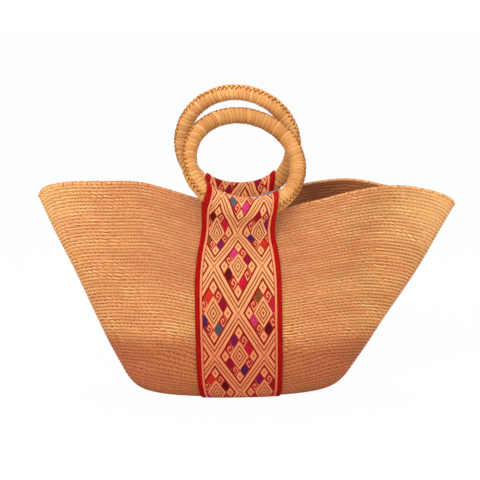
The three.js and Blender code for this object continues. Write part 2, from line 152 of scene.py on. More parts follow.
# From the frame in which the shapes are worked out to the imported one
low, high = np.array(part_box("base")) / MM
SHIFT = np.append((low + high)[:2] / 2, low[2]) - [BASE_CENTRE_X, 0, UNDERSIDE]


def stack(*parts):
    return np.stack(np.broadcast_arrays(*parts), -1).astype(float)


def size(vectors):
    return np.linalg.norm(vectors, axis=-1, keepdims=True)


def unit(vectors):
    return vectors / np.maximum(size(vectors), 1e-9)


def smooth_step(value, low, high):
    t = np.clip((value - low) / (high - low), 0, 1)
    return t * t * (3 - 2 * t)


def oval(angle, half_length, half_width):
    c, s = np.cos(angle), np.sin(angle)
    power = 2 / OVAL_POWER
    x = BASE_CENTRE_X - half_length * np.sign(c) * abs(c) ** power
    y = -half_width * np.sign(s) * abs(s) ** power
    return stack(x, y, UNDERSIDE)


def rim_keys():
    keys = [(0, LEFT_TIP_HEIGHT)] + [(-out, height) for out, height in FRONT_RIM]
    keys += [(0, RIGHT_TIP_HEIGHT)] + list(reversed(BACK_RIM))
    turns = np.arange(len(keys)) * TURN / len(keys)
    y, z = np.array(keys, float).T
    return stack(-MOUTH_HALF_SPAN * np.cos(turns), y, z + UNDERSIDE)


RIM_KEYS = rim_keys()


# The mouth's edge; the angle runs from the left end through the front to the right end and back
def rim(angle):
    place = (np.asarray(angle, float) / TURN % 1) * len(RIM_KEYS)
    first = np.floor(place).astype(int)
    f = (place - first)[..., None]
    p0, p1, p2, p3 = (RIM_KEYS[(first + k) % len(RIM_KEYS)] for k in (-1, 0, 1, 2))
    m1, m2 = (p2 - p0) / 2, (p3 - p1) / 2
    cubic = 2 * (p1 - p2) + m1 + m2
    point = p1 + m1 * f + (3 * (p2 - p1) - 2 * m1 - m2) * f ** 2 + cubic * f ** 3
    inset = np.clip(MOUTH_HALF_SPAN - abs(point[..., 0]), 0, TIP_RADIUS)
    side = -np.sign(np.sin(angle))
    least = np.sqrt(inset * (2 * TIP_RADIUS - inset))
    point[..., 1] = side * np.maximum(side * point[..., 1], least)
    return point


def wall_profile(angle):
    edge = oval(angle, BASE_HALF_LENGTH, BASE_HALF_WIDTH)
    foot = oval(angle, FOOT_HALF_LENGTH, FOOT_HALF_WIDTH)
    top = rim(angle)
    side = (np.sin(angle) ** 2)[..., None]
    rise = CORNER_RISE_END + (CORNER_RISE_SIDE - CORNER_RISE_END) * side
    knee = foot + unit(top - foot) * rise
    corner = 0.5 * (size(edge - foot) + rise + size(edge - knee))
    return edge, foot, knee, top, corner, size(knee - top)


def wall_length(angle):
    *_, corner, straight = wall_profile(angle)
    return (corner + straight)[..., 0]


# A point of the wall's outer face: travel is the distance along the wall from the base's edge
def wall_face(angle, travel):
    edge, foot, knee, top, corner, straight = wall_profile(angle)
    travel = np.asarray(travel, float)[..., None]
    s = np.clip(travel / corner, 0, 1)
    bent = edge * (1 - s) ** 2 + foot * 2 * s * (1 - s) + knee * s ** 2
    t = (travel - corner) / straight
    end = np.cos(angle)[..., None]
    bulge = np.where(end > 0, -LEFT_BULGE, RIGHT_BULGE) * end ** 4 * 4 * t * (1 - t)
    flat = knee + (top - knee) * t + bulge * np.array([1, 0, 0])
    return np.where(travel <= corner, bent, flat)


# The soft wall's slow unevenness, nothing at the base and at the mouth
def slump(angle, travel):
    share = travel / wall_length(angle)
    window = smooth_step(share, 0.08, 0.3) * (1 - smooth_step(share, 0.7, 0.97))
    wave = np.sin(5 * angle + 7 * share) + np.sin(9 * angle - 5 * share + 1.3)
    return SLUMP_DEPTH * window * (wave + np.sin(13 * angle + 11 * share + 4))


def off_face(angle, travel, offset, slumped=True):
    angle, travel, offset = np.broadcast_arrays(angle, travel, offset)
    low = np.maximum(travel - 0.5, 0)
    along = wall_face(angle, low + 1) - wall_face(angle, low)
    turned = wall_face(angle + NUDGE, travel) - wall_face(angle - NUDGE, travel)
    normal = unit(np.cross(turned, along))
    lift = offset + (slump(angle, travel) if slumped else 0)
    return wall_face(angle, travel) + normal * lift[..., None]


# The value at which a test that starts out true turns false, found by halving
def turning_point(shape, high, test):
    low, high = np.zeros(shape), np.full(shape, float(high))
    for _ in range(40):
        middle = (low + high) / 2
        short = test(middle)
        low, high = np.where(short, middle, low), np.where(short, high, middle)
    return low


def angle_at_x(x, travel, outward):
    x, travel = np.broadcast_arrays(np.asarray(x, float), np.asarray(travel, float))

    def short(angle):
        return wall_face(-outward * angle, travel)[..., 0] < x

    return -outward * turning_point(x.shape, math.pi, short)


def travel_at_height(x, height, outward):
    x = np.asarray(x, float)

    def short(travel):
        return wall_face(angle_at_x(x, travel, outward), travel)[..., 2] < height

    return turning_point(x.shape, LONGEST_WALL, short)


def grid_quads(rows, columns, wrap=False):
    r, c = np.meshgrid(np.arange(rows - 1), np.arange(columns - (not wrap)), indexing="ij")
    corners = np.stack([r, c, r, c + 1, r + 1, c + 1, r + 1, c], -1)
    return corners.reshape(-1, 4, 2)


def fill(layer, kind, values):
    layer.data.foreach_set(kind, values.astype(np.float32).ravel())


def linked(name, data):
    thing = bpy.data.objects.new(name, data)
    bpy.context.scene.collection.objects.link(thing)
    return thing


def piece(name, points, quads, finish, maps):
    mesh = bpy.data.meshes.new(name)
    mesh.from_pydata(((points + SHIFT) * MM).tolist(), [], quads.tolist())
    for map_name, values in maps.items():
        fill(mesh.uv_layers.new(name=map_name), "uv", values)
    mesh.shade_smooth()
    mesh.materials.append(finish.material)
    return linked(name, mesh)


# A thick sheet between an outer and an inner grid of points, with its edges closed.
# Seen from outside, columns run to the right and rows upwards; wrap joins the last column to
# the first. Each map is a grid of pairs with one column more than a wrapped sheet's points.
def shell(name, outer, inner, finish, maps, inner_maps=None, wrap=False):
    rows, columns = (len(outer), len(inner)), outer.shape[1]

    def index(side, r, c):
        return side * rows[0] * columns + r % rows[side] * columns + c % columns

    outside = grid_quads(rows[0], columns, wrap)
    inside = grid_quads(rows[1], columns, wrap)[:, ::-1]
    run, up, last = np.arange(columns - (not wrap)), np.arange(rows[0] - 1), columns - 1
    # The corners of the faces along each edge: grid, row and column
    edges = [
        [(1, 0, run), (1, 0, run + 1), (0, 0, run + 1), (0, 0, run)],
        [(0, -1, run), (0, -1, run + 1), (1, -1, run + 1), (1, -1, run)],
    ]
    if not wrap:
        edges.append([(1, up, 0), (0, up, 0), (0, up + 1, 0), (1, up + 1, 0)])
        edges.append([(0, up, last), (1, up, last), (1, up + 1, last), (0, up + 1, last)])
    faces = [index(0, outside[..., 0], outside[..., 1]), index(1, inside[..., 0], inside[..., 1])]
    for edge in edges:
        faces.append(np.stack([index(*corner) for corner in edge], -1))
    corner_maps = {}
    for map_name, grid in maps.items():
        inner_grid = (inner_maps or maps)[map_name]
        parts = [grid[outside[..., 0], outside[..., 1]]]
        parts.append(inner_grid[inside[..., 0], inside[..., 1]])
        parts += [np.stack([grid[r, c] for _, r, c in edge], 1) for edge in edges]
        corner_maps[map_name] = np.concatenate([p.reshape(-1, 2) for p in parts])
    points = np.concatenate([outer.reshape(-1, 3), inner.reshape(-1, 3)])
    return piece(name, points, np.concatenate(faces), finish, corner_maps)


def settle(thing, body, slot, *nodes):
    if nodes:
        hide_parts(*nodes)
    if body:
        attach(thing, body)
    return thing


# A colour as seen on a screen, in levels up to 255, made linear
def linear(levels):
    shares = [level / 255 for level in levels]
    return *(s / 12.92 if s <= 0.04045 else ((s + 0.055) / 1.055) ** 2.4 for s in shares), 1


# A new node: its settings, then its sockets, a list in order or a table by name
def add_node(tree, kind, settings=None, sockets=None):
    node = tree.nodes.new(kind)
    for key, value in (settings or {}).items():
        setattr(node, key, value)
    pairs = sockets.items() if isinstance(sockets, dict) else enumerate(sockets or [])
    for key, value in pairs:
        if isinstance(value, Value):
            value = value.socket
        if isinstance(value, bpy.types.Node):
            value = value.outputs[0]
        if isinstance(value, bpy.types.NodeSocket):
            tree.links.new(value, node.inputs[key])
        else:
            node.inputs[key].default_value = value
    return node


class Value:
    def __init__(self, finish, socket):
        self.finish = finish
        self.socket = socket

    def math(self, operation, *others, clamp=False):
        settings = {"operation": operation, "use_clamp": clamp}
        return self.finish.node("ShaderNodeMath", settings, [self, *others])

    def __rsub__(self, other):
        return self.finish.math("SUBTRACT", other, self)

    # Waves of a given length
    def wave(self, length):
        return (self * (TURN / length)).math("SINE")

    def held(self):
        return self.math("ADD", 0, clamp=True)

    # 1 where the value is within reach of 0, with a soft edge
    def near(self, reach, soft):
        return ((reach + soft - abs(self)) / soft).held()

    # 0 below low, 1 above high
    def rise(self, low, high):
        return ((self - low) / (high - low)).held()


# Each of these is one maths node; "and" and "or" are for shares between 0 and 1
OPERATORS = {
    "__add__": "ADD", "__radd__": "ADD", "__sub__": "SUBTRACT", "__mul__": "MULTIPLY",
    "__truediv__": "DIVIDE", "__pow__": "POWER", "__gt__": "GREATER_THAN",
    "__lt__": "LESS_THAN", "__and__": "MULTIPLY", "__or__": "MAXIMUM", "__abs__": "ABSOLUTE",
    "floor": "FLOOR", "part": "FRACT",
}
for operator, operation in OPERATORS.items():
    setattr(Value, operator, lambda value, *others, kind=operation: value.math(kind, *others))


class Finish:
    def __init__(self, name, roughness, sheen=0.0, specular=0.5):
        self.material = bpy.data.materials.new(name)
        self.material.use_nodes = True
        self.tree = self.material.node_tree
        self.shader = self.tree.nodes["Principled BSDF"]
        self.shader.inputs["Roughness"].default_value = roughness
        self.shader.inputs["Sheen Weight"].default_value = sheen
        self.shader.inputs["Specular IOR Level"].default_value = specular

    def node(self, kind, settings=None, sockets=None, output=0):
        return Value(self, add_node(self.tree, kind, settings, sockets).outputs[output])

    def math(self, operation, *values):
        return self.node("ShaderNodeMath", {"operation": operation}, list(values))

    def join(self, x, y=0, z=0):
        return self.node("ShaderNodeCombineXYZ", None, [x, y, z])

    def split(self, vector):
        separated = add_node(self.tree, "ShaderNodeSeparateXYZ", None, [vector])
        return [Value(self, output) for output in separated.outputs]

    def map(self, name):
        u, v, _ = self.split(self.node("ShaderNodeUVMap", {"uv_map": name}))
        return u, v

    def place(self):
        return self.node("ShaderNodeTexCoord", output="Object")

    # 1 up to one height in mm, 0 above another
    def low(self, full, none):
        return 1 - (self.split(self.place())[2] / MM).rise(full, none)

    # Soft noise of about a given grain, between 0 and 1
    def noise(self, vector, scale, detail=2, roughness=0.5):
        sockets = {"Vector": vector, "Scale": scale, "Detail": detail, "Roughness": roughness}
        return self.node("ShaderNodeTexNoise", None, sockets)

    # One even random value for each place
    def chance(self, x, y=0):
        return self.node("ShaderNodeTexWhiteNoise", None, {"Vector": self.join(x, y)})

    def mix(self, share, first, second, blend="MIX"):
        settings = {"data_type": "RGBA", "blend_type": blend}
        first, second = (linear(c) if isinstance(c, tuple) else c for c in (first, second))
        return self.node("ShaderNodeMix", settings, {0: share, 6: first, 7: second}, output=2)

    # Colours laid one over another, each with its share
    def layers(self, tone, *steps):
        for share, shade in steps:
            tone = self.mix(share, tone, shade)
        return tone

    def ramp(self, share, *stops):
        mixed = self.node("ShaderNodeValToRGB", None, [share])
        elements = mixed.socket.node.color_ramp.elements
        for place, _ in stops[2:]:
            elements.new(place)
        for element, (place, shade) in zip(elements, stops):
            element.position = place
            element.color = linear(shade)
        return mixed

    def paint(self, base, height, distance, strength=1.0, roughness=None):
        self.tree.links.new(base.socket, self.shader.inputs["Base Color"])
        if roughness is not None:
            self.tree.links.new(roughness.socket, self.shader.inputs["Roughness"])
        sockets = {"Height": height, "Distance": distance * MM, "Strength": strength}
        bumped = self.node("ShaderNodeBump", None, sockets)
        self.tree.links.new(bumped.socket, self.shader.inputs["Normal"])
        return self


# Courses of flat braid: map "weave" holds the distance along a course in mm and the course
# number, which is INNER_COURSE higher on the bag's inside
def palm_plait():
    palm = Finish("palm_plait", 0.62, specular=0.25)
    along, up = palm.map("weave")
    x, _, z = palm.split(palm.place())
    x, z = x / MM, z / MM
    out = abs(x + 10)
    # The wall round the sash's upper part: its rows are fainter, and it carries painted shade
    # under the handles
    fine = (1 - out.rise(70, 190)) * z.rise(100, 160)
    drift = palm.noise(palm.join(along * 0.02, up * 0.15), 1, 1)
    calm = 1 - out.rise(180, 240) * z.rise(150, 220) * 0.45
    strand = along / 6.4 + up * 0.37 + drift * 9
    shifted = up + (strand.part() - 0.5) * 0.4
    course = shifted.floor()
    across = shifted.part()
    leaf = palm.chance(strand.floor(), course)
    bead = abs(strand.part() * 2 - 1)
    valley = (abs(across - 0.5) * 2).rise(0.42, 0.86)
    slot = bead.rise(0.75, 1)
    dash = (valley * (0.3 + leaf * 0.95) | slot * 0.45).held()
    streak = palm.noise(palm.join(along * 0.05, course * 3.7), 1, 3)
    band = palm.noise(palm.join(along * 0.004, up * 0.3, 6), 1, 2)
    patch = palm.noise(palm.join(along * 0.012, up * 0.06, 4), 1, 3)
    fibre = palm.noise(palm.join(along * 0.6, up * 7, 9), 1, 4, 0.7)
    # Painted shade: darker and redder towards the bottom of the wall, where it turns under
    painted_low_shade = 1 - (z + (patch - 0.5) * 40).rise(58, 86)
    tone = palm.layers(
        palm.ramp(
            streak * 0.45 + band * 0.35 + leaf * 0.2, (0.25, (206, 124, 62)),
            (0.5, (238, 166, 96)), (0.75, (255, 204, 132)),
        ),
        (patch.rise(0.48, 0.7) * 0.45, (224, 132, 84)),
        ((1 - patch).rise(0.55, 0.8) * 0.3, (214, 172, 92)),
        # Painted shade round the sash's upper part, under the handles
        (fine * 0.62, (196, 112, 74)),
        # Painted highlight on the upper wall towards the mouth's ends
        (out.rise(170, 245) * z.rise(110, 200) * 0.4, (255, 206, 138)),
        (painted_low_shade * 0.78, (168, 62, 20)),
        (dash * (1 - fine * 0.4) * calm, (138, 60, 12)),
        (fibre.rise(0.5, 0.7) * 0.4, (255, 212, 160)),
        ((1 - fibre).rise(0.52, 0.75) * 0.45, (150, 66, 18)),
        # Painted shade on the bag's inside
        ((up > INNER_COURSE - 1) * 0.6, (112, 44, 24)),
    )
    relief = (1 - valley) * (1 - slot * 0.6) + fibre * 0.35
    return palm.paint(tone, relief, 0.6, 0.9, 0.55 + fibre * 0.2)


# Wound leaf: map "leaf" holds the turn number and the share of the way round the tube
def wound_leaf(name, dark, middle, light):
    wound = Finish(name, 0.5, specular=0.25)
    turn, round_tube = wound.map("leaf")
    count = turn.floor()
    across = turn.part()
    tone_share = wound.chance(count) * 0.3 + wound.noise(wound.join(turn * 0.2, 3), 1, 2) * 0.7
    blush = wound.noise(wound.join(turn * 0.6, round_tube * 3, 7), 1, 3)
    fibre = wound.noise(wound.join(turn * 14, round_tube * 5, 2), 1, 3, 0.6)
    edge = (abs(across - 0.5) * 2).rise(0.78, 1)
    patchy = wound.noise(wound.join(count * 0.9, round_tube * 6, 5), 1, 2)
    tone = wound.layers(
        wound.ramp(tone_share, (0.2, dark), (0.5, middle), (0.85, light)),
        (blush.rise(0.5, 0.8) * 0.4, (218, 140, 84)),
        (fibre.rise(0.45, 0.75) * 0.4, (164, 100, 46)),
        ((1 - fibre).rise(0.5, 0.75) * 0.3, (246, 196, 122)),
        (edge * patchy.rise(0.35, 0.65) * 0.8, (112, 54, 14)),
    )
    return wound.paint(tone, fibre * 0.5 - edge * 0.6, 0.35, 0.7, 0.42 + fibre * 0.25)


def cane():
    core = Finish("raw_cane", 0.6)
    place = core.place()
    grain = core.noise(place, 260, 3)
    tone = core.ramp(grain, (0.3, (150, 112, 70)), (0.7, (190, 150, 98)))
    return core.paint(tone, grain, 0.2)


GROUND = (255, 184, 120)
GROUND_PINK = (255, 158, 112)
OUTLINE = (136, 22, 4)
FINE_LINE = (136, 66, 20)
HOOK_RED = (158, 14, 4)
HALF_WIDE = 0.765
HALF_TALL = 0.7325
CHEVRON_TALL = 0.88


# Brocade: map "pattern" counts half repeats across and along, map "cloth" holds the distance in
# mm from the nearer long edge and along the sash, and "thread" colours each quarter diamond
def brocade():
    cloth = Finish("brocade", 0.85, specular=0.12)
    p, q = cloth.map("pattern")
    edge, along = cloth.map("cloth")
    s, t = (p + q) / 2, (p - q) / 2
    ds, dt = s - (s + 0.5).floor(), t - (t + 0.5).floor()
    wide, tall = ds + dt, ds - dt
    radius = abs(wide) / HALF_WIDE + abs(tall) / HALF_TALL
    chevron = abs(wide) + abs(tall) / CHEVRON_TALL
    a = wide / HALF_WIDE + tall / HALF_TALL
    b = wide / HALF_WIDE - tall / HALF_TALL
    inside = radius < 1
    x, y = ((a + 1) * 2).part() * 2 - 1, ((b + 1) * 2).part() * 2 - 1
    box = abs(x) | abs(y)
    blob = (abs(x) ** 3 + abs(y) ** 3) ** (1 / 3)
    outer_a, outer_b = abs(a) > 0.5, abs(b) > 0.5
    corner = outer_a & outer_b
    hook = (outer_a | outer_b) - corner
    opposite = (a * b) < 0
    filled = hook & (outer_a * opposite + outer_b * (1 - opposite))
    turn = cloth.math("ARCTAN2", y, x) / TURN
    coil = (box * 1.5 - turn * (1 - opposite * 2) + 0.92).part()
    dark_coil = (coil - 0.5).near(0.22, 0.12)
    border = box.rise(0.8, 0.9)
    speckle = cloth.noise(cloth.join(edge * 0.9, along * 1.7), 1, 2, 0.7)
    weave = edge.wave(1.1) * along.wave(0.9)
    fine = (chevron - 1).near(0.018, 0.022)
    centre_lines = (radius - 0.34).near(0.018, 0.03) | (radius - 0.19).near(0.018, 0.03)
    centre_lines = (centre_lines | radius.near(0.045, 0.03)) & (radius < 0.45)
    lines = inside & hook & (dark_coil | border * 0.9)
    dots = inside & corner & box.near(0.2, 0.12)
    ring = inside & corner & border
    outline = (radius - 1).near(0.042, 0.026)
    thread = cloth.node("ShaderNodeAttribute", {"attribute_name": "thread"}, output="Color")
    deep = cloth.mix(0.55, thread, (96, 8, 30))
    tone = cloth.layers(
        GROUND,
        (speckle.rise(0.35, 0.7), GROUND_PINK),
        (fine | centre_lines, FINE_LINE),
        (inside & hook, GROUND_PINK),
        (dots * 0.8, (150, 80, 30)),
        (lines | ring, HOOK_RED),
        (inside & filled & (1 - blob.rise(0.92, 1)), cloth.mix(dark_coil * 0.6, thread, deep)),
        (outline, OUTLINE),
        (1 - edge.rise(3.4, 3.6), (166, 40, 16)),
        (1 - edge.rise(2.5, 2.7), GROUND_PINK),
        ((0.5 + weave * 0.5) * 0.16, (120, 44, 20)),
    )
    # Painted shade: darker towards the bottom
    tone = cloth.mix(cloth.low(60, 150), tone, (228, 194, 196), "MULTIPLY")
    raised = fine | centre_lines | outline | lines | ring | (inside & filled)
    relief = raised * 0.5 + weave * 0.3 + speckle * 0.3
    return cloth.paint(tone, relief, 0.35, 0.8)


def red_binding():
    red = Finish("red_binding", 0.8, specular=0.1)
    edge, along = red.map("cloth")
    twill = (edge * 0.8 + along).wave(1.3)
    patch = red.noise(red.join(edge * 0.3, along * 0.08), 1, 3)
    stitch = (edge - 1.1).near(0.25, 0.2) & ((along / 3.2).part() - 0.5).near(0.3, 0.1)
    tone = red.layers(
        (156, 6, 2),
        (patch.rise(0.3, 0.7), (204, 14, 6)),
        (stitch * 0.5, (120, 6, 4)),
        ((0.5 + twill * 0.5) * 0.15, (96, 4, 2)),
    )
    # Painted shade: darker towards the bottom
    tone = red.mix(red.low(60, 150), tone, (222, 150, 120), "MULTIPLY")
    return red.paint(tone, twill * 0.5 - stitch, 0.3, 0.8)


def lining_cloth():
    plain = Finish("lining_cloth", 0.85, specular=0.2)
    across, along = plain.map("cloth")
    weave = across.wave(1.2) * along.wave(1.2)
    patch = plain.noise(plain.join(across * 0.05, along * 0.05), 1, 3)
    tone = plain.mix(patch, (146, 132, 146), (178, 166, 176))
    tone = plain.mix((0.5 + weave * 0.5) * 0.2, tone, (110, 96, 110))
    return plain.paint(tone, weave, 0.15, 0.8)


def brown_thread():
    thread = Finish("brown_thread", 0.8, specular=0.1)
    noise = thread.noise(thread.place(), 900, 2)
    tone = thread.ramp(noise, (0.3, (126, 62, 16)), (0.7, (172, 96, 36)))
    return thread.paint(tone, noise, 0.1)


PALM = palm_plait()
# One leaf on both rings; the back ring's copy is painted lighter, painted light where that ring
# is less lit
WOUND = {
    "front": wound_leaf("wound_leaf_front", (184, 116, 58), (208, 144, 78), (230, 172, 98)),
    "back": wound_leaf("wound_leaf_back_painted_lighter", (208, 138, 76), (234, 168, 98), (252, 200, 126)),
}
CANE = cane()
BROCADE = brocade()
RED = red_binding()
LINING = lining_cloth()
THREAD = brown_thread()


def aim(thing, target):
    direction = Vector(target) - thing.location
    thing.rotation_euler = direction.to_track_quat("-Z", "Y").to_euler()


def camera():
    data = bpy.data.cameras.new("camera")
    data.lens = 114.3
    data.sensor_width = 36
    eye = linked("camera", data)
    target = Vector((-0.010, 0, 0.188))
    turn, rise, distance = math.radians(3), math.radians(12), 1.9
    eye.location = target + distance * Vector((
        -math.sin(turn) * math.cos(rise), -math.cos(turn) * math.cos(rise), math.sin(rise),
    ))
    aim(eye, target)
    bpy.context.scene.camera = eye


def lamp(name, place, target, side, power):
    data = bpy.data.lights.new(name, "AREA")
    data.shape = "SQUARE"
    data.size = side
    data.energy = power
    light = linked(name, data)
    light.location = place
    aim(light, target)


FLOOR_WHITE = 0.96


# White to the camera, in mirrors and through glass too, by a share; plain shading otherwise
def seen_white(tree, kind, plain, share, output):
    ray = tree.nodes.new("ShaderNodeLightPath").outputs
    larger = {"operation": "MAXIMUM"}
    rays = [ray["Is Glossy Ray"], ray["Is Transmission Ray"]]
    mirrored = add_node(tree, "ShaderNodeMath", larger, rays)
    seen = add_node(tree, "ShaderNodeMath", larger, [ray["Is Camera Ray"], mirrored])
    amount = add_node(tree, "ShaderNodeMath", {"operation": "MULTIPLY"}, [seen, share])
    white = add_node(tree, kind, None, {"Color": (1, 1, 1, 1), "Strength": 1})
    mixed = add_node(tree, "ShaderNodeMixShader", None, [amount, plain, white])
    tree.links.new(mixed.outputs[0], output)


def studio():
    scene = bpy.context.scene
    scene.view_settings.view_transform = "Standard"
    world = bpy.data.worlds.new("studio")
    world.use_nodes = True
    scene.world = world
    tree = world.node_tree
    soft = tree.nodes["Background"]
    soft.inputs["Strength"].default_value = 0.5
    soft.inputs["Color"].default_value = (1, 1, 1, 1)
    output = tree.nodes["World Output"].inputs["Surface"]
    seen_white(tree, "ShaderNodeBackground", soft, 1, output)
    lamp("key", (-0.9, -1.5, 1.7), (0, 0, 0.15), 1.3, 34)
    lamp("fill", (1.5, -1.3, 0.9), (0, 0, 0.15), 1.6, 11)
    lamp("top", (0.1, 0.5, 1.9), (0, 0, 0.2), 1.4, 15)
    mesh = bpy.data.meshes.new("floor")
    reach = 6
    corners = [(-reach, -reach, 0), (reach, -reach, 0), (reach, reach, 0), (-reach, reach, 0)]
    mesh.from_pydata(corners, [], [(0, 1, 2, 3)])
    floor = linked("floor", mesh)
    pale = Finish("floor", 0.9)
    pale.shader.inputs["Base Color"].default_value = (0.8, 0.8, 0.8, 1)
    output = pale.tree.nodes["Material Output"].inputs["Surface"]
    seen_white(pale.tree, "ShaderNodeEmission", pale.shader, FLOOR_WHITE, output)
    mesh.materials.append(pale.material)


camera()
studio()


# The rows of a number of courses: the course that each is at, and its ridge
def course_rows(courses, ridge):
    rows = np.arange(courses * len(ridge) + 1)
    return rows / len(ridge), np.array(ridge)[rows % len(ridge)]


# The distance along a line of points, or along each row of a grid
def lengths_along(points):
    steps = size(np.diff(points, axis=-2))[..., 0]
    return np.insert(np.cumsum(steps, -1), 0, 0, -1)


def make_wall():
    angle = np.linspace(0, TURN, WALL_COLUMNS + 1)
    length = wall_length(angle) - EDGING_HEIGHT + EDGING_OVERLAP
    grids, maps = [], []
    sides = ((COURSE_RIDGE, 0, 0), (INNER_RIDGE, -PLAIT_THICKNESS, INNER_COURSE))
    for ridge, depth, first in sides:
        number, lift = course_rows(COURSES, ridge)
        travel = length * number[:, None] / COURSES
        fade = np.where(travel == 0, 0.5, 1)
        grid = off_face(angle[None, :], travel, depth + lift[:, None] * fade)
        grids.append(grid[:, :-1])
        maps.append(stack(lengths_along(grid), first + number[:, None]))
    wall = shell("plaited_wall", *grids, PALM, {"weave": maps[0]}, {"weave": maps[1]}, wrap=True)
    return settle(wall, "bag", "palm_plait", "wall")


# A closed grid of palm leaf, whose last column joins the first; wrap joins its rows too
def coil(name, grid, numbers, wrap=False):
    rows, columns = len(grid) - wrap, grid.shape[1] - 1
    cells = grid_quads(len(grid), columns, True)
    quads = cells[..., 0] % rows * columns + cells[..., 1] % columns
    weave = stack(lengths_along(grid), numbers[:, None])
    corner_map = weave[cells[..., 0], cells[..., 1]]
    return piece(name, grid[:rows, :-1].reshape(-1, 3), quads, PALM, {"weave": corner_map})


# The coiled base, from the middle of its underside out to the edge and back over its top
def make_base():
    angle = np.linspace(0, TURN, BASE_COLUMNS + 1)
    half_width = BASE_HALF_WIDTH - GAP
    courses = int(half_width / BASE_COURSE_WIDTH)
    number, ridge = course_rows(courses, BASE_RIDGE)
    inset = (half_width - BASE_ROUNDING) * (1 - number / courses)
    lift = ridge - BASE_ROUNDING
    under = stack(inset, UNDERSIDE - lift, number)
    edge = [(0, UNDERSIDE + PLAIT_THICKNESS / 2, courses + 0.5)]
    over = stack(inset, UNDERSIDE + PLAIT_THICKNESS + lift, number)[::-1]
    rows = np.concatenate([under, edge, over])
    inset = rows[:, :1]
    grid = oval(angle, BASE_HALF_LENGTH - GAP - inset, np.maximum(half_width - inset, 0.02))
    grid[..., 2] = rows[:, 1:2]
    base = coil("coiled_base", grid, rows[:, 2])
    closed = bmesh.new()
    closed.from_mesh(base.data)
    bmesh.ops.holes_fill(closed, edges=closed.edges)
    bmesh.ops.recalc_face_normals(closed, faces=closed.faces)
    closed.to_mesh(base.data)
    closed.free()
    return settle(base, "bag", "palm_plait", "base")


# The last course, overcast with leaf: a bead whose wraps lean round it
def make_edging():
    columns = EDGING_WRAPS * EDGING_SAMPLES
    angle = np.linspace(0, TURN, columns + 1)
    face = wall_length(angle) - EDGING_HEIGHT / 2
    centre = off_face(angle, face, -PLAIT_THICKNESS / 2)
    out = unit(off_face(angle, face, 1) - off_face(angle, face, 0))
    up = unit(wall_face(angle, face + 1) - wall_face(angle, face))
    share = np.arange(EDGING_STEPS_ROUND + 1) / EDGING_STEPS_ROUND
    tube = TURN * share[:, None]
    wrap = TURN * np.arange(columns + 1) / EDGING_SAMPLES
    bump = EDGING_BUMP * np.sin(wrap + 2 * tube) - EDGING_INSET
    thick = (EDGING_THICKNESS / 2 + bump) * np.sin(tube)
    tall = (EDGING_HEIGHT / 2 + bump) * -np.cos(tube)
    grid = centre + out * thick[..., None] + up * tall[..., None]
    edging = coil("overcast_edging", grid, share * 2, wrap=True)
    return settle(edging, "bag", "palm_plait", "rim_edging")


def neck_x(outward):
    return FRONT_NECK_X if outward < 0 else BACK_NECK_X


def ring_frame(handle):
    outward = handle["outward"]
    yaw = math.radians(handle["yaw"])
    lean = math.radians(outward * handle["lean"])
    across = np.array([math.cos(yaw), math.sin(yaw), 0])
    inward = np.array([-math.sin(yaw), math.cos(yaw), 0])
    back = inward * math.cos(lean) + np.array([0, 0, math.sin(lean)])
    up = inward * -math.sin(lean) + np.array([0, 0, math.cos(lean)])
    travel = travel_at_height(neck_x(outward), NECK_HEIGHT, outward)
    angle = angle_at_x(handle["bottom_x"], travel, outward)
    face = wall_face(angle, travel)[1]
    reach = outward * (CLOTH_THICKNESS + handle["stand_off"] + WRAP_RADIUS)
    bottom = np.array([handle["bottom_x"], face + reach, handle["bottom_z"]])
    ring = handle["ring"]
    return {"across": across, "up": up, "axis": -back, "centre": bottom + up * ring, "ring": ring}


# A point of a ring's skin: round the ring from its lowest point, and round its tube from outside
def ring_point(where, tube, round_ring, round_tube):
    round_ring, round_tube, tube = np.broadcast_arrays(round_ring, round_tube, tube)
    reach = (where["ring"] + tube * np.cos(round_tube))[..., None]
    point = where["centre"] + where["across"] * reach * np.sin(round_ring)[..., None]
    point = point - where["up"] * reach * np.cos(round_ring)[..., None]
    return point + where["axis"] * (tube * np.sin(round_tube))[..., None]


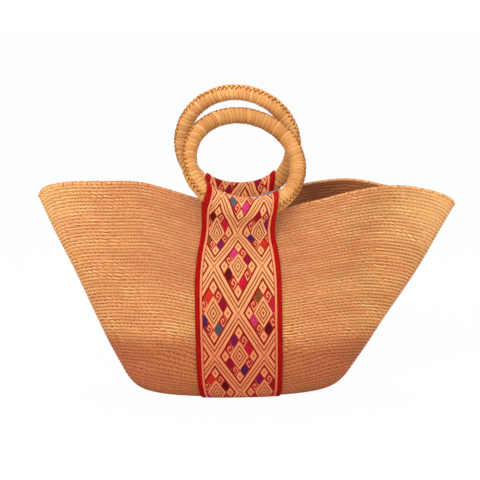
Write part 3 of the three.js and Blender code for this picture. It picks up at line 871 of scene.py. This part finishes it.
# The wound ring: each turn of leaf lies over the edge of the one before, in one long helix
def make_ring(handle):
    side = handle["side"]
    where = ring_frame(handle)
    turns = round(TURN * handle["ring"] / LEAF_WIDTH)
    rows = turns * LEAF_SAMPLES
    chance = np.random.default_rng(handle["leaf_seed"])
    plump = chance.uniform(-0.16, 0.16, turns)
    row, step = np.meshgrid(np.arange(rows + 1), np.arange(TUBE_STEPS + 1), indexing="ij")
    turn = row / LEAF_SAMPLES
    share = (row % LEAF_SAMPLES) / LEAF_SAMPLES
    round_tube = -TURN * step / TUBE_STEPS
    edges = np.cumsum(chance.uniform(0.65, 1.35, turns))
    edges = np.concatenate([[0], edges, edges[:2] + edges[-1]]) / edges[-1]
    round_ring = TURN * np.interp(turn + step / TUBE_STEPS, np.arange(turns + 3), edges)
    wave = 0.1 * np.sin(3 * round_tube + turn * 1.7) + plump[(row // LEAF_SAMPLES) % turns]
    tube = WRAP_RADIUS - LEAF_INSET + LEAF_LIFT * np.minimum(share * 2.2, 1) ** 0.7 + wave
    tube = np.where(share == 0, WRAP_RADIUS - LEAF_GROOVE + wave, tube)
    grid = ring_point(where, tube, round_ring, round_tube)
    r, c = np.meshgrid(np.arange(rows), np.arange(TUBE_STEPS), indexing="ij")

    def corner(dr, dc):
        wraps = (c + dc) // TUBE_STEPS
        down = (r + dr + wraps * LEAF_SAMPLES) % rows
        return down * TUBE_STEPS + (c + dc) % TUBE_STEPS

    order = [(0, 0), (0, 1), (1, 1), (1, 0)]
    quads = np.stack([corner(*o) for o in order], -1).reshape(-1, 4)
    leaf = np.stack([
        stack((r + dr) / LEAF_SAMPLES - 0.001 * dr, (c + dc) / TUBE_STEPS) for dr, dc in order
    ], 2)
    points = grid[:-1, :-1].reshape(-1, 3)
    ring = piece(f"wound_ring_{side}", points, quads, WOUND[side], {"leaf": leaf.reshape(-1, 2)})
    settle(ring, f"{side}_ring", "ring_wrap", f"ring_wrap_{side}")
    return where, turns


# One geometry node tree: a flattened bead of thread on each point of a mesh, laid along the
# point's "along" direction with its flat side on the "outward" one
def stitch_tree():
    tree = bpy.data.node_groups.new("stitches", "GeometryNodeTree")
    for name, kind in (
        ("Geometry", "Geometry"), ("Length", "Float"), ("Width", "Float"), ("Height", "Float"),
        ("Seed", "Int"),
    ):
        tree.interface.new_socket(name, in_out="INPUT", socket_type=f"NodeSocket{kind}")
    tree.interface.new_socket("Geometry", in_out="OUTPUT", socket_type="NodeSocketGeometry")

    def add(kind, settings, sockets):
        return add_node(tree, kind, settings, sockets)

    given = add("NodeGroupInput", None, None).outputs
    bead = add("GeometryNodeMeshUVSphere", None, {"Segments": 8, "Rings": 6, "Radius": 0.5})
    sizes = [given[name] for name in ("Length", "Width", "Height")]
    stretch = add("ShaderNodeCombineXYZ", None, sizes)
    vary = add("FunctionNodeRandomValue", {"data_type": "FLOAT_VECTOR"}, {
        "Min": (0.75, 0.8, 0.8), "Max": (1.2, 1.2, 1.1), "Seed": given["Seed"],
    })
    scaled = add("ShaderNodeVectorMath", {"operation": "MULTIPLY"}, [stretch, vary])
    kind, settings = "GeometryNodeInputNamedAttribute", {"data_type": "FLOAT_VECTOR"}
    along, outward = (add(kind, settings, {"Name": name}) for name in ("along", "outward"))
    axes = {"primary_axis": "Z", "secondary_axis": "X"}
    turned = add("FunctionNodeAxesToRotation", axes, {
        "Primary Axis": outward, "Secondary Axis": along,
    })
    placed = add("GeometryNodeInstanceOnPoints", None, {
        "Points": given["Geometry"], "Instance": bead, "Rotation": turned, "Scale": scaled,
    })
    real = add("GeometryNodeRealizeInstances", None, [placed])
    smooth = add("GeometryNodeSetShadeSmooth", None, [real])
    dressed = add("GeometryNodeSetMaterial", None, {0: smooth, "Material": THREAD.material})
    add("NodeGroupOutput", None, [dressed])
    return tree


STITCHES = stitch_tree()


SEAM_STITCH_SIZE = (5.4, 1.9, 1.1)
EDGING_STITCH_SIZE = (4.4, 0.8, 0.5)


def stitches(name, points, along, outward, measures, seed):
    mesh = bpy.data.meshes.new(name + "_points")
    mesh.from_pydata(((points + SHIFT) * MM).tolist(), [], [])
    for attribute, values in (("along", along), ("outward", outward)):
        fill(mesh.attributes.new(attribute, "FLOAT_VECTOR", "POINT"), "vector", values)
    source = linked(name + "_points", mesh)
    modifier = source.modifiers.new("stitches", "NODES")
    modifier.node_group = STITCHES
    length, width, height = (measure * MM for measure in measures)
    given = {"Length": length, "Width": width, "Height": height, "Seed": seed}
    for item in STITCHES.interface.items_tree:
        if item.in_out == "INPUT" and item.name in given:
            modifier[item.identifier] = given[item.name]
    bpy.context.view_layer.update()
    evaluated = source.evaluated_get(bpy.context.evaluated_depsgraph_get())
    sewn = bpy.data.meshes.new_from_object(evaluated)
    sewn.name = name
    bpy.data.objects.remove(source)
    return linked(name, sewn)


# Two stitches for each turn of leaf, which lean towards each other
def make_ring_seam(handle, where, turns):
    side = handle["side"]
    chance = np.random.default_rng(handle["seam_seed"])
    count = 2 * turns
    number = np.arange(count)
    lean = np.where(number % 2, 1, -1)
    tube_angle = math.radians(handle["seam"]) + lean * 0.15 + chance.uniform(-0.07, 0.07, count)
    round_ring = TURN * (number + 0.5 + chance.uniform(-0.2, 0.2, count)) / count
    radius = WRAP_RADIUS + 0.05
    points = ring_point(where, radius, round_ring, tube_angle)
    below = ring_point(where, 0, round_ring, tube_angle)
    ahead = ring_point(where, radius, round_ring + 0.016 * lean, tube_angle + 0.18)
    along, outward = unit(ahead - points), unit(points - below)
    seam = stitches(f"ring_seam_{side}", points, along, outward, SEAM_STITCH_SIZE, 1)
    return settle(seam, f"{side}_ring", "ring_wrap")


def make_edging_stitches():
    angles = np.linspace(0, TURN, 721)
    length = lengths_along(rim(angles))
    count = round(length[-1] / EDGING_STITCH)
    chance = np.random.default_rng(21)
    goal = (np.arange(count) + chance.uniform(-0.2, 0.2, count) + 0.5) * length[-1] / count
    angle = np.interp(goal, length, angles)
    travel = wall_length(angle) - EDGING_HEIGHT * 0.45
    points = off_face(angle, travel, EDGING_THICKNESS / 2 - PLAIT_THICKNESS / 2 - 0.1)
    outward = unit(off_face(angle, travel, 2) - off_face(angle, travel, 0))
    along = unit(wall_face(angle + NUDGE, travel + 3) - wall_face(angle - NUDGE, travel))
    sewn = stitches("edging_stitches", points, along, outward, EDGING_STITCH_SIZE, 4)
    return settle(sewn, "bag", "palm_plait")


# The sash's middle and width at a share of the way from the base's edge to its neck
def sash_middle(outward, share):
    return neck_x(outward) + (SASH_BASE_X - neck_x(outward)) * (1 - share) ** 3


def sash_width(share):
    ends = SASH_WIDTH_BASE + (SASH_WIDTH_NECK - SASH_WIDTH_BASE) * share
    fullness = np.sin(math.pi * np.clip(share, 0, 1))
    return ends + (SASH_WIDTH_MIDDLE - ends) * fullness * (2 - fullness)


# How far from the sash's middle a place in one of its three strips is; share runs to the right
def strip_x(strip, width, share):
    edge = width / 2
    start, end = {
        "left": (-edge, BINDING_WIDTH - GAP - edge),
        "field": (BINDING_WIDTH - edge, edge - BINDING_WIDTH),
        "right": (edge - BINDING_WIDTH + GAP, edge),
    }[strip]
    return start + (end - start) * share


# The wall's distance out from the middle plane along the neck, and how far up the wall the
# sash's straight run goes
def neck_facts(outward):
    middle = neck_x(outward)
    x = np.linspace(middle - LOOP_WIDTH, middle + LOOP_WIDTH, 41)
    travel = travel_at_height(x, NECK_HEIGHT, outward)
    face = wall_face(angle_at_x(x, travel, outward), travel)[:, 1]
    total = float(travel_at_height(middle, NECK_HEIGHT - NECK_CLEARANCE, outward))
    return {"x": x, "face": face, "total": total}


NECK = {outward: neck_facts(outward) for outward in (-1, 1)}


# The middle line of the cloth round the ring at one X: up its outer side, over the ring and
# down its inner side
def loop_line(where, handle, x, thickness):
    tilt = math.hypot(where["across"][0], where["up"][0])
    start = math.atan2(where["up"][0], where["across"][0])
    tube = np.linspace(0, TURN, 48, endpoint=False)
    reach = handle["ring"] + WRAP_RADIUS * np.cos(tube)
    away = x - where["centre"][0] - WRAP_RADIUS * np.sin(tube) * where["axis"][0]
    sine = np.clip(away / (reach * tilt), -1, 1)
    cut = ring_point(where, WRAP_RADIUS, start + np.arcsin(sine), tube)
    middle = cut.mean(0)
    known = NECK[handle["outward"]]
    face = np.interp(x, known["x"], known["face"])
    neck = np.array([x, face + handle["outward"] * (thickness + 2 * GAP), NECK_HEIGHT])
    lift = unit(where["up"] * [0, 1, 1])
    side = (x - handle["loop_x"]) / (LOOP_WIDTH / 2)
    slack = handle["slack"] * (1 - side * side) + handle["slack_right"] * max(0, side)
    height = ((cut - middle) @ lift).max()
    crest = middle + lift * (height + RING_CLEARANCE + slack - CREST_ROUNDING)
    points = np.concatenate([cut, [crest, neck]])
    room = np.array([RING_CLEARANCE] * len(cut) + [CREST_ROUNDING, 0]) + thickness / 2
    first = math.atan2(neck[2] - middle[2], neck[1] - middle[1])
    facing = first + np.linspace(0, TURN, 180, endpoint=False)
    directions = stack(0, np.cos(facing), np.sin(facing))
    far = (directions @ (points - middle).T + room).max(1)
    turn = first + handle["outward"] * np.linspace(0, TURN, 241)
    cosine = np.cos(facing[None] - turn[:, None])
    distance = np.where(cosine > 0.05, far / np.maximum(cosine, 0.05), np.inf).min(1)
    line = middle + distance[:, None] * stack(0, np.cos(turn), np.sin(turn))
    line[:, 0] = x
    return line


def resampled(line, count):
    place = lengths_along(line)
    goal = np.linspace(0, place[-1], count)
    return np.stack([np.interp(goal, place, line[:, k]) for k in range(line.shape[1])], 1)


def eased(line):
    for _ in range(EASINGS):
        line = np.concatenate([line[:1], (line[:-2] + 2 * line[1:-1] + line[2:]) / 4, line[-1:]])
    return line


# A strip is no thicker than the cloth at the base's edge
def swollen(thickness, travel):
    share = np.clip(travel / CORNER_RISE_END, 0, 1)
    return CLOTH_THICKNESS + (thickness - CLOTH_THICKNESS) * share


# How far below the neck the run stops, how far above it the loop starts, and how high the
# sewn end is tucked in behind it
RUN_END = 8
LOOP_START = 5
TUCK_RISE = 1.2


# One column of the sash's middle surface, from the base's edge to the sewn end inside the neck
def sash_line(where, handle, strip, share, thickness):
    outward = handle["outward"]
    seen = share if outward < 0 else 1 - share
    total = NECK[outward]["total"]
    travel = np.linspace(0, total, RUN_STEPS)
    width = sash_width(travel / total)
    run_x = sash_middle(outward, travel / total) + strip_x(strip, width, seen)
    angle = angle_at_x(run_x, travel, outward)
    run = off_face(angle, travel, SASH_GAP + swollen(thickness, travel) / 2)
    crest, neck = (
        loop_line(where, handle, middle + strip_x(strip, wide, seen), thickness)
        for middle, wide in ((handle["loop_x"], LOOP_WIDTH), (neck_x(outward), SASH_WIDTH_NECK))
    )
    lowness = (1 + np.cos(np.linspace(0, TURN, len(crest))))[:, None] / 2
    loop = crest + (neck - crest) * lowness
    low = loop[:, 2] < NECK_HEIGHT + LOOP_START
    first = np.argmax(~low)
    last = len(loop) - np.argmax(~low[::-1])
    face = loop[0, 1] - outward * (thickness + 2 * GAP)
    tuck = [loop[0, 0], face + outward * (SASH_GAP + thickness), NECK_HEIGHT + TUCK_RISE]
    run = run[run[:, 2] < NECK_HEIGHT - RUN_END]
    line = np.concatenate([run, loop[first:last], [tuck]])
    return resampled(eased(resampled(line, LINE_STEPS)), SASH_ROWS)


def thickened(grid, thickness):
    along = np.gradient(grid, axis=0)
    across = np.gradient(grid, axis=1)
    normal = unit(np.cross(across, along))
    half = thickness / 2
    return grid + normal * half, grid - normal * half


PALETTE = {
    "magenta": (222, 62, 120), "crimson": (214, 20, 56), "maroon": (84, 8, 14),
    "wine": (150, 12, 48), "purple": (126, 24, 84), "navy": (62, 34, 96), "teal": (66, 100, 110),
    "scarlet": (228, 52, 32), "brick": (160, 14, 14), "olive": (140, 82, 30),
}
# Threads of the diamonds that show, by column and half repeat: upper left, upper right,
# lower left and lower right
THREADS = {
    (1, -1): ("wine", "brick", "maroon", "magenta"),
    (-1, -1): ("crimson", "wine", "purple", "navy"),
    (0, 0): ("maroon", "wine", "teal", "magenta"),
    (-1, 1): ("maroon", "crimson", "olive", "purple"),
    (1, 1): ("brick", "purple", "navy", "scarlet"),
    (0, 2): ("magenta", "wine", "maroon", "crimson"),
    (-1, 3): ("scarlet", "wine", "navy", "teal"),
    (1, 3): ("olive", "crimson", "magenta", "maroon"),
    (0, 4): ("purple", "crimson", "wine", "navy"),
    (-1, 5): ("scarlet", "maroon", "magenta", "wine"),
    (1, 5): ("purple", "brick", "crimson", "navy"),
}


def thread_colours(p, q, known):
    s, t = np.floor((p + q) / 2 + 0.5), np.floor((p - q) / 2 + 0.5)
    column, row = (s + t).astype(int), (s - t).astype(int)
    quarter = (p > column).astype(int) + 2 * (q > row).astype(int)
    names, table = list(PALETTE), np.array([linear(shade) for shade in PALETTE.values()])
    picked = (column * 7 + row * 3 + quarter * 5 + column * row + 40) % len(names)
    for (k, j), threads in (THREADS.items() if known else ()):
        here = (column == k) & (row == j)
        for number, name in enumerate(threads):
            picked[here & (quarter == number)] = names.index(name)
    return table[picked]


def set_threads(thing, known):
    mesh = thing.data
    values = np.empty(len(mesh.loops) * 2, np.float32)
    mesh.uv_layers["pattern"].data.foreach_get("uv", values)
    middles = values.reshape(-1, 4, 2).mean(1)
    shades = np.repeat(thread_colours(middles[:, 0], middles[:, 1], known), 4, axis=0)
    fill(mesh.color_attributes.new("thread", "FLOAT_COLOR", "CORNER"), "color", shades)


# Half repeats of the pattern at heights on the front wall, as on the real sash
FRONT_REPEATS = ((10, 5), (56, 4), (109, 3), (167, 2), (208, 1), (228, 0.73), (249, 0.27))
REPEAT = 53
BACK_CREST_REPEAT = -1.13
BACK_SHIFT = 0.27


def repeats_along(handle, line):
    place = lengths_along(line)
    crest = np.argmax(line[:, 2])
    if handle["side"] == "back":
        return BACK_CREST_REPEAT + (place[crest] - place) / REPEAT
    heights, counts = zip(*FRONT_REPEATS)
    keys = np.interp(heights, line[:crest, 2], place[:crest])
    known = [keys[0] - 3 * REPEAT, *keys, keys[-1] + 4 * REPEAT]
    return np.interp(place, known, [counts[0] + 3, *counts, counts[-1] - 4])


BASE_FIRST_REPEAT = 5.3
# Half a repeat across the sash, as a share of its width
LATERAL_REPEAT = 0.285
FIELD_COLUMNS = 49
SASH_ROWS = 176
BASE_RUN_ROWS = 52


# A strip of the sash, which stands for its own node and its loop's
def strip_piece(side, strip, outer, inner, maps):
    field = strip == "field"
    nodes = [f"sash_{side}" if field else f"binding_{side}_{strip}"]
    thing = shell(nodes[0] + "_cloth", outer, inner, BROCADE if field else RED, maps)
    if side != "base":
        nodes.append(f"sash_{side}_loop" if field else f"binding_{side}_loop_{strip}")
    if field:
        set_threads(thing, side != "base")
    body = "bag" if side == "base" else None
    return settle(thing, body, "brocade" if field else "red_binding", *nodes)


def make_sash(handle, where, strip):
    side, outward = handle["side"], handle["outward"]
    field = strip == "field"
    thickness = CLOTH_THICKNESS if field else BINDING_THICKNESS
    columns = FIELD_COLUMNS if field else 7
    shares = np.linspace(0, 1, columns)
    grid = np.stack([sash_line(where, handle, strip, share, thickness) for share in shares], 1)
    across = lengths_along(grid)
    width = across[:, -1]
    length = lengths_along(grid[:, columns // 2])
    rounded = 1 if field else np.sqrt(np.clip(1 - (2 * shares - 1) ** 4, 0.12, 1))
    outer, inner = thickened(grid, swollen(thickness, length)[:, None, None] * stack(rounded))
    edge = np.minimum(across, width[:, None] - across) if field else across
    maps = {"cloth": stack(edge, length[:, None])}
    if field:
        repeat = LATERAL_REPEAT * (width[:, None] + 2 * BINDING_WIDTH)
        p = (across - width[:, None] / 2) / repeat + (BACK_SHIFT if side == "back" else 0)
        q = [repeats_along(handle, grid[:, column]) for column in range(columns)]
        maps["pattern"] = stack(p, np.stack(q, 1))
    thing = strip_piece(side, strip, outer, inner, maps)
    start, end = (
        ((neck_x(outward) + SHIFT[0]) * MM, handle["pivot"] * MM, (NECK_HEIGHT + away) * MM)
        for away in (-NECK_BLEND, NECK_BLEND)
    )
    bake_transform(thing)
    return thing, (float(width.mean()) * MM, float(length[-1]) * MM)


def make_base_run(strip):
    field = strip == "field"
    columns = FIELD_COLUMNS if field else 5
    x = SASH_BASE_X + strip_x(strip, SASH_WIDTH_BASE, np.linspace(0, 1, columns))
    reach = abs(wall_face(angle_at_x(x, 0, -1), 0)[..., 1]) - 2 * GAP
    y = np.linspace(1, -1, BASE_RUN_ROWS)[:, None] * reach[None]
    bottom, top = stack(x[None], y, 0.0), stack(x[None], y, CLOTH_THICKNESS)
    across = (x - x[0])[None] + 0 * y
    total = x[-1] - x[0]
    edge = np.minimum(across, total - across) if field else across
    maps = {"cloth": stack(edge, reach.mean() - y)}
    if field:
        p = (across - total / 2) / (LATERAL_REPEAT * SASH_WIDTH_BASE)
        maps["pattern"] = stack(p, BASE_FIRST_REPEAT + (y + reach.mean()) / REPEAT)
    thing = strip_piece("base", strip, bottom, top, maps)
    return thing, (total * MM, 2 * float(reach.mean()) * MM)


# The lining goes up over the edging's inner side and a little above it
def make_lining(side, outward):
    columns, rows = 24, 26
    share = np.linspace(0, 1, columns)
    seen = share if outward < 0 else 1 - share
    x = neck_x(outward) + LINING_WIDTH * (seen - 0.5)
    middle = wall_length(-outward * math.pi / 2)
    angle = angle_at_x(x, middle, outward)
    down = LINING_DEPTH * (1 - np.linspace(0, 1, rows))[:, None]
    travel = wall_length(angle)[None] + LINING_RISE - down
    angles = angle_at_x(x, travel, outward)
    swell = (EDGING_THICKNESS - PLAIT_THICKNESS) / 2
    swell = swell * (1 - smooth_step(down - LINING_RISE, EDGING_HEIGHT, 2 * EDGING_HEIGHT))
    depth = PLAIT_THICKNESS + 2 * SASH_GAP + swell
    grids = [off_face(angles, travel, -depth - extra) for extra in (0, LINING_THICKNESS)]
    maps = {"cloth": stack(lengths_along(grids[0]), -down)}
    thing = shell(f"lining_{side}_cloth", *grids, LINING, maps)
    settle(thing, "bag", "lining", f"lining_{side}")
    return thing, (LINING_WIDTH * MM, LINING_DEPTH * MM)


make_wall()
make_base()
make_edging()
make_edging_stitches()
for handle in (FRONT, BACK):
    where, turns = make_ring(handle)
    make_ring_seam(handle, where, turns)
    cloth, flat = make_sash(handle, where, "field")
    hems = [make_sash(handle, where, strip)[0] for strip in ("left", "right")]
cloth, flat = make_base_run("field")
hems = [make_base_run(strip)[0] for strip in ("left", "right")]
for side, outward in (("front", -1), ("back", 1)):
    cloth, flat = make_lining(side, outward)
for side in ("front", "back"):
    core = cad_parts[f"ring_core_{side}"]
    core.data.materials.clear()
    core.data.materials.append(CANE.material)
